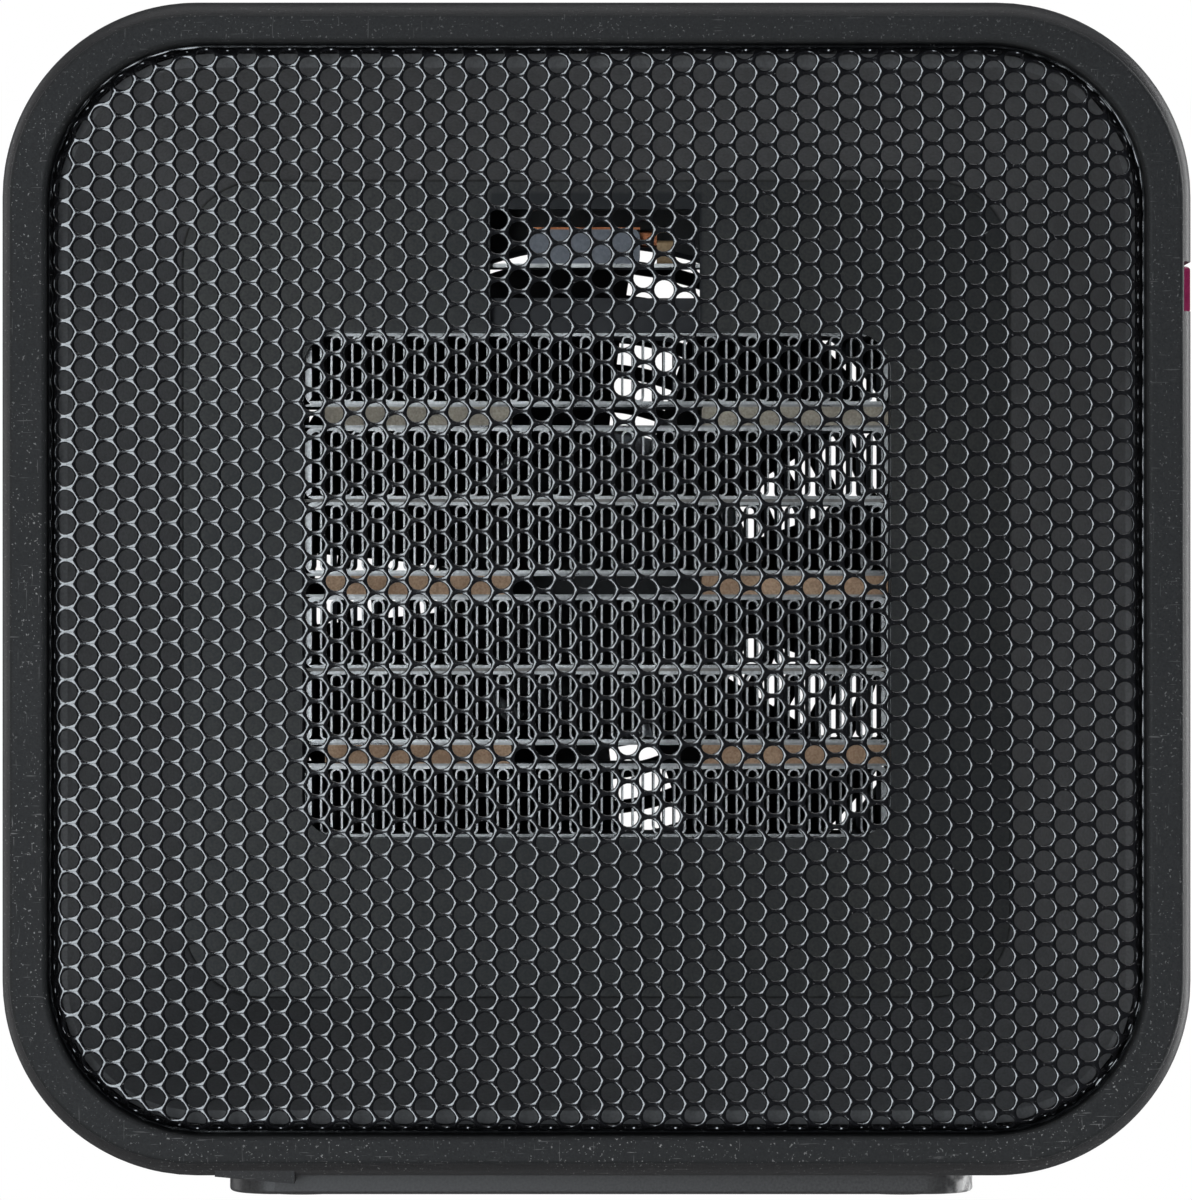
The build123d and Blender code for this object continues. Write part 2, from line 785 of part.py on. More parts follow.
def contact_plate(name, z, tab_side):
    """A thin plate between the stones and a fin row, with a tab through the frame on one side."""
    with BuildPart() as plate:
        with BuildSketch(level(z - contact_thickness / 2, y=(element_front + element_back) / 2)):
            Rectangle(2 * (frame_inner_x + contact_tongue), element_depth)
            with Locations((tab_side * frame_outer_x, element_depth / 2 - contact_tab_depth)):
                Rectangle(contact_tab * 2, contact_tab_depth)
        extrude(amount=contact_thickness)
    plate.part.label = name
    export_step(plate.part, f"parts/{name}.step")


def ceramic_stone(name, x, z):
    """One ceramic heating stone between two contact plates."""
    with BuildPart() as stone:
        with BuildSketch(facing(element_back, x, z)):
            Rectangle(stone_length, stone_height)
        extrude(amount=element_depth)
        chamfer(stone.edges().filter_by(Axis.Y), stone_height / 12)
    stone.part.label = name
    export_step(stone.part, f"parts/{name}.step")


sandwich_pitch = sandwich_height + separator_thickness
slot_heights = []
for number in range(3):
    middle = (1 - number) * sandwich_pitch + element_rise
    row_offset = (stone_height + fin_row_height) / 2 + contact_thickness
    fin_row(f"fin_row_{2 * number + 1}", middle + row_offset)
    fin_row(f"fin_row_{2 * number + 2}", middle - row_offset)
    for side in (1, -1):
        plate_z = middle + side * (stone_height + contact_thickness) / 2
        slot_heights.append(plate_z)
        contact_plate(
            f"contact_plate_{2 * number + (1 if side > 0 else 2)}", centre_height + plate_z, side
        )
    ceramic_stone(f"ceramic_stone_{2 * number + 1}", stone_left, centre_height + middle)
    ceramic_stone(f"ceramic_stone_{2 * number + 2}", stone_right, centre_height + middle)
with BuildPart() as separators:
    for side in (1, -1):
        with BuildSketch(facing(element_back)):
            with Locations((0, element_rise + side * sandwich_pitch / 2)):
                Rectangle(2 * fin_half_width, separator_thickness)
        extrude(amount=element_depth)
separators.part.label = "separators"
export_step(separators.part, "parts/separators.step")

# Element frame: two halves that meet in the middle and hold the stack by its plates' tongues
for name, side in (("element_frame_left", -1), ("element_frame_right", 1)):
    with BuildPart() as element_frame:
        with BuildSketch(facing(element_back)):
            with Locations((side * frame_outer_x / 2, element_rise)):
                Rectangle(frame_outer_x, 2 * frame_outer_z)
            with Locations((side * frame_inner_x / 2, element_rise)):
                Rectangle(frame_inner_x, 2 * frame_inner_z, mode=Mode.SUBTRACT)
        extrude(amount=element_back - floor_back)
        with BuildSketch(facing(floor_back + 2 * frame_lug_thickness)):
            for place in lug_places:
                if place[0] * side > 0:
                    with Locations((place[0] - side * frame_lug_thickness / 2, place[1])):
                        Rectangle(frame_lug + frame_lug_thickness, frame_lug_width)
                    with Locations(place):
                        Circle(small_screw_radius + screw_play, mode=Mode.SUBTRACT)
        extrude(amount=frame_lug_thickness)
        # slots for the tongues and the tabs
        for height, tab_side in zip(slot_heights, (1, -1) * 3):
            with BuildSketch(level(centre_height + height, side * frame_inner_x, element_front)):
                Rectangle(
                    2 * (contact_tongue + frame_clearance),
                    element_depth + 2 * frame_clearance,
                    align=(Align.CENTER, Align.MIN),
                )
                if tab_side == side:
                    with Locations((0, element_depth / 2 + (element_depth / 2 - contact_tab_depth))):
                        Rectangle(
                            4 * frame_side, contact_tab_depth + 2 * frame_clearance,
                            align=(Align.CENTER, Align.CENTER),
                        )
            extrude(
                amount=contact_thickness / 2 + frame_clearance / 2, both=True, mode=Mode.SUBTRACT
            )
    element_frame.part.label = name
    export_step(element_frame.part, f"parts/{name}.step")

# Thermal cut-out: a steel strip across the notch carries a flat case with a copper leaf on top
strip_back = floor_back + strip_depth
with BuildPart() as cutout_strip:
    with BuildSketch(facing(strip_back, notch_centre, centre_height + strip_height)):
        Rectangle(notch_width + 2 * strip_depth, strip_thickness)
    extrude(amount=strip_depth)
    with BuildSketch(facing(floor_back + strip_thickness, notch_centre, centre_height + strip_height)):
        for side in (-1, 1):
            with Locations((side * (notch_width / 2 + strip_depth / 2 + screw_play), 0)):
                Rectangle(strip_depth - screw_play, strip_depth)
    extrude(amount=strip_thickness)
cutout_strip.part.label = "cutout_strip"
export_step(cutout_strip.part, "parts/cutout_strip.step")

case_bottom = centre_height + strip_height + strip_thickness / 2
with BuildPart() as cutout_case:
    with BuildSketch(facing(floor_back + cutout_depth, cutout_left + cutout_width / 2, case_bottom)):
        RectangleRounded(
            cutout_width, cutout_height, cutout_height / 5, align=(Align.CENTER, Align.MIN)
        )
    extrude(amount=cutout_depth)
cutout_case.part.label = "cutout_case"
export_step(cutout_case.part, "parts/cutout_case.step")

with BuildPart() as cutout_leaf:
    with BuildSketch(
        facing(floor_back + cutout_depth, cutout_left + cutout_width / 2, case_bottom + cutout_height)
    ):
        Rectangle(cutout_width, leaf_thickness, align=(Align.CENTER, Align.MIN))
    extrude(amount=cutout_depth - leaf_thickness)
cutout_leaf.part.label = "cutout_leaf"
export_step(cutout_leaf.part, "parts/cutout_leaf.step")

case_right = cutout_left + cutout_width
with BuildPart() as cutout_crimp:
    with BuildSketch(facing(floor_back + cutout_depth / 2, case_right, case_bottom + cutout_height)):
        Rectangle(crimp_width, cutout_height / 2, align=(Align.MIN, Align.MAX))
    extrude(amount=crimp_width)
    fillet(cutout_crimp.edges().filter_by(Axis.X), crimp_width / 5)
cutout_crimp.part.label = "cutout_crimp"
export_step(cutout_crimp.part, "parts/cutout_crimp.step")

with BuildPart() as cutout_bead:
    with BuildSketch(facing(floor_back + cutout_depth / 2, case_right + crimp_width, case_bottom)):
        Rectangle(bead_width, cutout_height * 0.7, align=(Align.MIN, Align.MIN))
    extrude(amount=crimp_width)
    fillet(cutout_bead.edges().filter_by(Axis.X), crimp_width / 5)
cutout_bead.part.label = "cutout_bead"
export_step(cutout_bead.part, "parts/cutout_bead.step")


def blade_section(radius, half_angle, front, back):
    """A cambered blade section at one radius, on a plane square to that radius."""
    half = radius * sin(radians(half_angle))
    crown = (front + back) / 2 - blade_camber
    plane = Plane(origin=(radius, 0, 0), x_dir=(0, 1, 0), z_dir=(1, 0, 0))
    with BuildSketch(plane) as section:
        with BuildLine():
            ThreePointArc((-half, front), (0, crown), (half, back - blade_thickness))
            Line((half, back - blade_thickness), (half, back))
            ThreePointArc((half, back), (0, crown + blade_thickness), (-half, front + blade_thickness))
            Line((-half, front + blade_thickness), (-half, front))
        make_face()
    return section.sketch


# Fan impeller, drawn about the +Z axis and then turned to look along the depth
blade_back = blade_front + blade_depth
with BuildPart() as blades:
    loft(
        [
            blade_section(
                hub_radius - hub_wall / 2, blade_root_half_angle, blade_front, fan_front + hub_length
            ),
            blade_section(
                (hub_radius + fan_radius) / 2,
                (blade_root_half_angle + blade_tip_half_angle) / 2,
                blade_front,
                blade_back,
            ),
            blade_section(fan_radius + blade_camber, blade_tip_half_angle, blade_front, blade_back),
        ]
    )
    first_blade = blades.part
    for number in range(1, blade_count):
        add(first_blade.rotate(Axis.Z, number * 360 / blade_count))
    with BuildSketch(Plane.XY):
        Circle(fan_radius)
    extrude(amount=blade_back + blade_thickness, mode=Mode.INTERSECT)
with BuildPart() as upright_fan:
    with BuildSketch(Plane.XY.offset(fan_front)):
        Circle(hub_radius)
    extrude(amount=hub_length)
    fillet(upright_fan.edges().filter_by(GeomType.CIRCLE).sort_by(Axis.Z)[0], hub_dome)
    add(blades.part)
    with BuildSketch(Plane.XY.offset(fan_front + hub_wall)):
        Circle(hub_radius - hub_wall)
    extrude(amount=hub_length, mode=Mode.SUBTRACT)
    with BuildSketch(Plane.XY.offset(fan_front + hub_wall / 2)):
        Circle(hub_boss_radius)
    extrude(amount=hub_boss_end - fan_front - hub_wall / 2)
    with BuildSketch(Plane.XY.offset(shaft_front)):
        Circle(shaft_radius)
    extrude(amount=hub_boss_end, mode=Mode.SUBTRACT)
with BuildPart() as fan_impeller:
    add(Plane(origin=(0, 0, centre_height), x_dir=(1, 0, 0), z_dir=(0, 1, 0)) * upright_fan.part)
fan_impeller.part.label = "fan_impeller"
export_step(fan_impeller.part, "parts/fan_impeller.step")


def turned(name, steps, bore=0.0, bore_front=None, bore_back=None):
    """A round piece on the fan's axis, from (radius, front, back) steps, with an optional bore."""
    with BuildPart() as piece:
        for radius, front, back in steps:
            with BuildSketch(facing(back)):
                Circle(radius)
            extrude(amount=back - front)
        if bore:
            with BuildSketch(facing(bore_back)):
                Circle(bore)
            extrude(amount=bore_back - bore_front, mode=Mode.SUBTRACT)
    piece.part.label = name
    export_step(piece.part, f"parts/{name}.step")


turned("motor_shaft", [(shaft_radius, shaft_front, shaft_end)])
nose_front = motor_front - motor_nose_length
cap_front = motor_rear - motor_cap_depth
with BuildPart() as motor_can:
    for radius, front, back in (
        (motor_nose_radius, nose_front, motor_front),
        (motor_radius, motor_front, cap_front),
    ):
        with BuildSketch(facing(back)):
            Circle(radius)
        extrude(amount=back - front)
    with BuildSketch(facing(cap_front)):
        Circle(can_inner)
    extrude(amount=cap_front - motor_front - motor_wall, mode=Mode.SUBTRACT)
    with BuildSketch(facing(cap_front)):
        Circle(bush_radius)
    extrude(amount=cap_front - nose_front, mode=Mode.SUBTRACT)
    with BuildSketch(facing(motor_front + motor_wall)):
        with Locations(*motor_screw_places):
            Circle(small_screw_radius + thread_play)
    extrude(amount=motor_wall, mode=Mode.SUBTRACT)
motor_can.part.label = "motor_can"
export_step(motor_can.part, "parts/motor_can.step")
bush_bore = shaft_radius + bearing_clearance
for name, front, back in (
    ("front_bush", nose_front, nose_front + bush_length),
    ("rear_bush", cap_front - brush_width / 2, motor_rear),
):
    turned(name, [(bush_radius, front, back)], bush_bore, front, back)
with BuildPart() as motor_cap:
    with BuildSketch(facing(motor_rear)):
        Circle(motor_radius)
    extrude(amount=motor_cap_depth)
    with BuildSketch(facing(cap_front)):
        Circle(bush_radius + brush_width)
    extrude(amount=brush_width / 2)
    with BuildSketch(facing(motor_rear)):
        Circle(bush_radius)
    extrude(amount=2 * motor_cap_depth, mode=Mode.SUBTRACT)
    # brush holders
    holder_inner = commutator_radius + brush_gap + 1
    with BuildSketch(facing(cap_front)):
        for side in (-1, 1):
            with Locations((side * (holder_inner + brush_reach / 2), 0)):
                Rectangle(brush_reach, 3 * brush_width)
    extrude(amount=2 * brush_width)
    with BuildSketch(facing(cap_front - brush_width / 2)):
        Rectangle(4 * motor_radius, brush_width)
    extrude(amount=brush_width, mode=Mode.SUBTRACT)
    with BuildSketch(facing(motor_rear)):
        for side in (-1, 1):
            with Locations((0, side * motor_radius * 0.7)):
                Rectangle(terminal_width * 0.6, terminal_thickness)
    extrude(amount=2 * motor_cap_depth, mode=Mode.SUBTRACT)
motor_cap.part.label = "motor_cap"
export_step(motor_cap.part, "parts/motor_cap.step")
with BuildPart() as motor_brushes:
    with BuildSketch(facing(cap_front - brush_width / 2)):
        for side in (-1, 1):
            with Locations((side * (commutator_radius + brush_gap + brush_reach / 2), 0)):
                Rectangle(brush_reach, brush_width)
    extrude(amount=brush_width)
motor_brushes.part.label = "motor_brushes"
export_step(motor_brushes.part, "parts/motor_brushes.step")
with BuildPart() as motor_terminals:
    with BuildSketch(facing(motor_rear + terminal_thickness)):
        for side in (-1, 1):
            with Locations((0, side * motor_radius * 0.7)):
                Rectangle(terminal_width * 0.6, terminal_thickness)
    extrude(amount=motor_cap_depth + 2 * terminal_thickness)
motor_terminals.part.label = "motor_terminals"
export_step(motor_terminals.part, "parts/motor_terminals.step")
core_front = motor_front + motor_wall + bush_length
with BuildPart() as motor_magnets:
    with BuildSketch(facing(core_front + core_length + (magnet_length - core_length) / 2)):
        Circle(can_inner)
        Circle(magnet_inner, mode=Mode.SUBTRACT)
        Rectangle(2 * motor_radius, 2 * can_inner * cos(radians(magnet_half_angle)), mode=Mode.SUBTRACT)
    extrude(amount=magnet_length)
motor_magnets.part.label = "motor_magnets"
export_step(motor_magnets.part, "parts/motor_magnets.step")
pole_angles = [90 + number * 360 / pole_count for number in range(pole_count)]
with BuildPart() as armature_core:
    with BuildSketch(facing(core_front + core_length)):
        Circle(core_radius)
        Circle(core_radius - pole_shoe, mode=Mode.SUBTRACT)
        for angle in pole_angles:
            with Locations(Location((0, 0, 0), (0, 0, angle + 180 / pole_count))):
                with Locations((core_radius, 0)):
                    Rectangle(
                        2 * pole_shoe + 2,
                        2 * core_radius * sin(radians(180 / pole_count - pole_half_angle)),
                        mode=Mode.SUBTRACT,
                    )
        Circle(core_hub_radius)
        for angle in pole_angles:
            with Locations(Location((0, 0, 0), (0, 0, angle))):
                Rectangle(core_radius - pole_shoe / 2, pole_width, align=(Align.MIN, Align.CENTER))
        Circle(shaft_radius, mode=Mode.SUBTRACT)
    extrude(amount=core_length)
armature_core.part.label = "armature_core"
export_step(armature_core.part, "parts/armature_core.step")
winding_inner = core_hub_radius + winding_thickness
winding_half = pole_width / 2 + winding_thickness
winding_outer = sqrt((core_radius - pole_shoe - winding_gap) ** 2 - winding_half**2)
with BuildPart() as armature_windings:
    with BuildSketch(facing(core_front + core_length + winding_thickness)):
        for angle in pole_angles:
            with Locations(Location((0, 0, 0), (0, 0, angle))):
                with Locations(((winding_inner + winding_outer) / 2, 0)):
                    Rectangle(
                        winding_outer - winding_inner, pole_width + 2 * winding_thickness
                    )
    extrude(amount=core_length + 2 * winding_thickness)
    with BuildSketch(facing(core_front + core_length + winding_gap)):
        for angle in pole_angles:
            with Locations(Location((0, 0, 0), (0, 0, angle))):
                with Locations(((winding_inner + winding_outer) / 2, 0)):
                    Rectangle(winding_outer, pole_width + 2 * winding_gap)
    extrude(amount=core_length + 2 * winding_gap, mode=Mode.SUBTRACT)
armature_windings.part.label = "armature_windings"
export_step(armature_windings.part, "parts/armature_windings.step")
commutator_back = cap_front - brush_width / 2 - brush_gap
commutator_front = commutator_back - commutator_length
turned(
    "commutator",
    [(commutator_radius, commutator_front, commutator_back)],
    shaft_radius,
    commutator_front,
    commutator_back,
)

# Motor mount
with BuildPart() as motor_mount:
    with BuildSketch(facing(motor_front)):
        Circle(mount_radius)
        Circle(motor_nose_radius + screw_play, mode=Mode.SUBTRACT)
        with Locations(*pillar_places, *motor_screw_places):
            Circle(small_screw_radius + screw_play, mode=Mode.SUBTRACT)
    extrude(amount=mount_thickness)
motor_mount.part.label = "motor_mount"
export_step(motor_mount.part, "parts/motor_mount.step")
screws(
    "mount_screws",
    pillar_places,
    screw_pilot,
    small_head_radius,
    small_head_height,
    mount_front,
    2 * mount_thickness,
    forwards=False,
)
screws(
    "motor_screws",
    motor_screw_places,
    small_screw_radius,
    small_head_radius,
    small_head_height,
    mount_front,
    mount_thickness + motor_wall,
    forwards=False,
)

# Foot with its pads and screws
foot_top = casing_bottom
with BuildPart() as foot:
    with BuildSketch(level(pad_proud, foot_shift)):
        RectangleRounded(foot_width, foot_depth, foot_radius)
    extrude(amount=foot_top - pad_proud)
    fillet(foot.faces().sort_by(Axis.Z)[0].edges(), foot_edge)
    with BuildSketch(level(pad_proud)):
        with Locations(*pad_places):
            Circle(pad_radius + slide_clearance)
    extrude(amount=pad_thickness - pad_proud, mode=Mode.SUBTRACT)
    with BuildSketch(level(pad_proud)):
        with Locations(*foot_screw_places):
            Circle(small_screw_radius + screw_play)
    extrude(amount=foot_top, mode=Mode.SUBTRACT)
    with BuildSketch(level(pad_proud)):
        with Locations(*foot_screw_places):
            Circle(rear_head_radius)
    extrude(amount=small_head_height + slide_clearance, mode=Mode.SUBTRACT)
foot.part.label = "foot"
export_step(foot.part, "parts/foot.step")
with BuildPart() as foot_pads:
    with BuildSketch(level(0)):
        with Locations(*pad_places):
            Circle(pad_radius)
    extrude(amount=pad_thickness)
foot_pads.part.label = "foot_pads"
export_step(foot_pads.part, "parts/foot_pads.step")
with BuildPart() as foot_screws:
    head_top = pad_proud + small_head_height + slide_clearance
    with BuildSketch(level(head_top - small_head_height)):
        with Locations(*foot_screw_places):
            Circle(small_head_radius)
    extrude(amount=small_head_height)
    with BuildSketch(level(head_top)):
        with Locations(*foot_screw_places):
            Circle(screw_pilot)
    extrude(amount=foot_boss_height)
foot_screws.part.label = "foot_screws"
export_step(foot_screws.part, "parts/foot_screws.step")

# Rocker switch
with BuildPart() as switch_body:
    with BuildSketch(level(switch_z, switch_outer, rocker_y)):
        Rectangle(switch_depth, 2 * (switch_half + switch_wall), align=(Align.MAX, Align.CENTER))
    extrude(amount=switch_half_z, both=True)
    with BuildSketch(level(switch_z, switch_outer, rocker_y)):
        Rectangle(switch_depth - switch_floor, 2 * switch_half, align=(Align.MAX, Align.CENTER))
    extrude(amount=cavity_half_z, both=True, mode=Mode.SUBTRACT)
    with BuildSketch(level(switch_z, rocker_pivot_x, rocker_y)):
        Circle(trunnion_radius + trunnion_clearance)
    extrude(amount=switch_half_z + 1, both=True, mode=Mode.SUBTRACT)
    # tongue that closes the recess in front of the rocker
    tongue_back = rocker_y - switch_half - switch_wall / 2
    tongue_front = ledge + spigot_length + slide_clearance
    with BuildSketch(level(switch_z, switch_outer, tongue_back)):
        Rectangle(casing_wall, tongue_back - tongue_front, align=(Align.MAX, Align.MAX))
    extrude(amount=cavity_half_z, both=True)
    # slots for the terminals
    with BuildSketch(level(switch_z, switch_outer - switch_depth, rocker_y + terminal_spacing / 2)):
        for side in (-1, 1):
            with Locations((0, side * terminal_spacing / 2)):
                Rectangle(2 * switch_floor + 1, terminal_thickness)
    extrude(amount=terminal_width / 2, both=True, mode=Mode.SUBTRACT)
switch_body.part.label = "switch_body"
export_step(switch_body.part, "parts/switch_body.step")
with BuildPart() as switch_terminals:
    with BuildSketch(level(switch_z, switch_inner, rocker_y + terminal_spacing / 2)):
        for side in (-1, 1):
            with Locations((0, side * terminal_spacing / 2)):
                Rectangle(
                    switch_floor + terminal_length, terminal_thickness, align=(Align.MAX, Align.CENTER)
                )
    extrude(amount=terminal_width / 2, both=True)
switch_terminals.part.label = "switch_terminals"
export_step(switch_terminals.part, "parts/switch_terminals.step")
tilt = radians(rocker_tilt)
rocker_plane = Plane(
    origin=(rocker_pivot_x, rocker_y, switch_z),
    x_dir=(cos(tilt), sin(tilt), 0),
    z_dir=(0, 0, 1),
)
rocker_root = (rocker_pivot_x - switch_inner - switch_play) / (cos(tilt) + sin(tilt))
with BuildPart() as rocker_button:
    with BuildSketch(rocker_plane):
        with BuildLine():
            Polyline(
                (rocker_end_rise, -rocker_half_length),
                (rocker_middle_rise, 0),
                (rocker_end_rise, rocker_half_length),
                (rocker_edge, rocker_half_length),
                (-rocker_root, rocker_root),
                (-rocker_root, -rocker_root),
                (rocker_edge, -rocker_half_length),
                close=True,
            )
        make_face()
    extrude(amount=rocker_width / 2, both=True)
    outer_edges = [
        edge
        for edge in rocker_button.edges()
        if edge.center().X > rocker_pivot_x + rocker_edge
        and abs(edge.center().Z - switch_z) > rocker_edge
    ]
    fillet(outer_edges, rocker_edge)
    with BuildSketch(rocker_plane):
        Circle(trunnion_radius)
    extrude(amount=switch_half_z, both=True)
rocker_button.part.label = "rocker_button"
export_step(rocker_button.part, "parts/rocker_button.step")

# Cord grommet in the rear cover; no cord is shown, so its bore is open
grommet_flange_back = rear_face - grommet_flange_height
with BuildPart() as cord_grommet:
    for radius, back, length in (
        (grommet_radius + grommet_flange, rear_face, grommet_flange_height),
        (grommet_radius, grommet_flange_back, cover_plate - grommet_flange_height),
        (grommet_radius + grommet_flange, cover_inner, grommet_flange_height),
    ):
        with BuildSketch(facing(back)):
            with Locations((grommet_x, -grommet_drop)):
                Circle(radius)
                Circle(grommet_bore, mode=Mode.SUBTRACT)
        extrude(amount=length)
cord_grommet.part.label = "cord_grommet"
export_step(cord_grommet.part, "parts/cord_grommet.step")

# Terminal block on the casing's floor
inner_floor = casing_bottom + casing_wall
with BuildPart() as terminal_block:
    with BuildSketch(level(inner_floor, block_x, block_y)):
        RectangleRounded(block_length, block_width, block_width / 8)
    extrude(amount=block_height)
    with BuildSketch(level(inner_floor + block_height / 2, block_x, block_y)):
        with GridLocations(block_length / 2, 1, 2, 1):
            Circle(2 * lead_radius)
    extrude(amount=block_height, mode=Mode.SUBTRACT)
terminal_block.part.label = "terminal_block"
export_step(terminal_block.part, "parts/terminal_block.step")

# Rectifier board and its diodes
board_back = cover_inner - standoff_length
with BuildPart() as rectifier_board:
    with BuildSketch(facing(board_back)):
        with Locations((board_x, -board_drop)):
            Rectangle(board_width, board_height)
        with Locations(*board_places):
            Circle(standoff_pin + screw_play / 2, mode=Mode.SUBTRACT)
    extrude(amount=board_thickness)
rectifier_board.part.label = "rectifier_board"
export_step(rectifier_board.part, "parts/rectifier_board.step")
with BuildPart() as rectifier_diodes:
    board_front = board_back - board_thickness
    for row in range(4):
        z = centre_height - board_drop + (row - 1.5) * (2 * diode_radius + 2 * screw_play)
        with BuildSketch(
            Plane(origin=(board_x - diode_length / 2, board_front - diode_radius, z),
                  x_dir=(0, 1, 0), z_dir=(1, 0, 0))
        ):
            Circle(diode_radius)
        extrude(amount=diode_length)
rectifier_diodes.part.label = "rectifier_diodes"
export_step(rectifier_diodes.part, "parts/rectifier_diodes.step")
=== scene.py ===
import json
from math import cos, pi, radians, sin, sqrt

import bpy
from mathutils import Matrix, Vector


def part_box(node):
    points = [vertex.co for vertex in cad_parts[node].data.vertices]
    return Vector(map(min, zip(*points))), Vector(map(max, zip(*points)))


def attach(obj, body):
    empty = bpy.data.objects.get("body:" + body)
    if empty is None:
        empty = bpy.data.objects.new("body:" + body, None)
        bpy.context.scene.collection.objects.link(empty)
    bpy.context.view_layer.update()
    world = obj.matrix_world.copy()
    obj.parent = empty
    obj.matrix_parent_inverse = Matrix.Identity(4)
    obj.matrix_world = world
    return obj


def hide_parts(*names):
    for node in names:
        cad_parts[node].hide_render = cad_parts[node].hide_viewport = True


# The ceramic heater's looks. Lengths are metres, the front looks along -Y and +Z is up.
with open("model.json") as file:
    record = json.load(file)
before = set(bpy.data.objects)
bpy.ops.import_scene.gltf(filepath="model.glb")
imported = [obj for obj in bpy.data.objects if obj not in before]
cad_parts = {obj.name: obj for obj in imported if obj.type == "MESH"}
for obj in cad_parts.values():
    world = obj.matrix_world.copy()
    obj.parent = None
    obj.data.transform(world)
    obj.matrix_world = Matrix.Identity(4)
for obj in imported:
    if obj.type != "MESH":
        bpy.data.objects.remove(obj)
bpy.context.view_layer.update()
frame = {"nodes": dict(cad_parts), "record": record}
nodes = frame["nodes"]
MM = 0.001


def linear(level):
    """The linear value of an 8-bit sRGB level."""
    c = level / 255
    return c / 12.92 if c <= 0.04045 else ((c + 0.055) / 1.055) ** 2.4


def rgb(r, g, b):
    return (linear(r), linear(g), linear(b), 1)


class Surface:
    """A procedural material: helpers that add texture nodes to one shader."""

    def __init__(self, name, roughness=0.5, metallic=0.0, specular=0.5):
        self.material = bpy.data.materials.new(name)
        self.material.use_nodes = True
        self.tree = self.material.node_tree
        self.shader = self.tree.nodes["Principled BSDF"]
        self.shader.inputs["Roughness"].default_value = roughness
        self.shader.inputs["Metallic"].default_value = metallic
        self.shader.inputs["Specular IOR Level"].default_value = specular
        self.place = self.tree.nodes.new("ShaderNodeTexCoord").outputs["Object"]

    def link(self, source, target):
        self.tree.links.new(source, target)

    def node(self, kind, **settings):
        made = self.tree.nodes.new(kind)
        for key, value in settings.items():
            setattr(made, key, value)
        return made

    def mapped(self, scale, turn=(0, 0, 0)):
        """The place in the object, scaled along each axis, so that a texture can be stretched."""
        made = self.node("ShaderNodeMapping")
        made.inputs["Scale"].default_value = scale
        made.inputs["Rotation"].default_value = turn
        self.link(self.place, made.inputs["Vector"])
        return made.outputs["Vector"]

    def noise(self, scale, detail=2.0, vector=None, distortion=0.0):
        made = self.node("ShaderNodeTexNoise")
        made.inputs["Scale"].default_value = scale
        made.inputs["Detail"].default_value = detail
        made.inputs["Distortion"].default_value = distortion
        self.link(vector if vector else self.place, made.inputs["Vector"])
        return made.outputs["Fac"]

    def steps(self, value, low, high, start=0.0, end=1.0):
        """value taken from low..high to start..end, held at the ends."""
        made = self.node("ShaderNodeMapRange")
        made.inputs["From Min"].default_value = low
        made.inputs["From Max"].default_value = high
        made.inputs["To Min"].default_value = start
        made.inputs["To Max"].default_value = end
        self.link(value, made.inputs["Value"])
        return made.outputs["Result"]

    def mix(self, factor, first, second):
        """A colour between first and second; each is a colour or an output."""
        made = self.node("ShaderNodeMix", data_type="RGBA")
        for socket, value in ((made.inputs[0], factor), (made.inputs[6], first), (made.inputs[7], second)):
            if isinstance(value, (tuple, float)):
                socket.default_value = value
            else:
                self.link(value, socket)
        return made.outputs[2]

    def math(self, operation, first, second):
        made = self.node("ShaderNodeMath", operation=operation)
        for socket, value in zip(made.inputs, (first, second)):
            if isinstance(value, (int, float)):
                socket.default_value = value
            else:
                self.link(value, socket)
        return made.outputs[0]

    def axis(self, name):
        """One coordinate of the place in the object, in metres."""
        made = self.node("ShaderNodeSeparateXYZ")
        self.link(self.place, made.inputs[0])
        return made.outputs[name]

    def colour(self, output):
        self.link(output, self.shader.inputs["Base Color"])

    def rough(self, output):
        self.link(output, self.shader.inputs["Roughness"])

    def bump(self, height, distance, strength=1.0):
        made = self.node("ShaderNodeBump")
        made.inputs["Distance"].default_value = distance
        made.inputs["Strength"].default_value = strength
        self.link(height, made.inputs["Height"])
        self.link(made.outputs["Normal"], self.shader.inputs["Normal"])


def grained(name, dark, light, grain, rough, bump, metallic=0.0, specular=0.5, stretch=None):
    """A material of one hue with grain of a given size: colours, roughness and height all vary with it."""
    made = Surface(name, metallic=metallic, specular=specular)
    vector = made.mapped(stretch) if stretch else None
    fine = made.noise(1 / grain, 3.0, vector)
    broad = made.noise(1 / (30 * grain), 2.0)
    both = made.math("MULTIPLY", made.math("ADD", fine, broad), 0.5)
    made.colour(made.mix(made.steps(both, 0.35, 0.65), dark, light))
    made.rough(made.steps(broad, 0.3, 0.7, rough[0], rough[1]))
    made.bump(fine, bump)
    return made


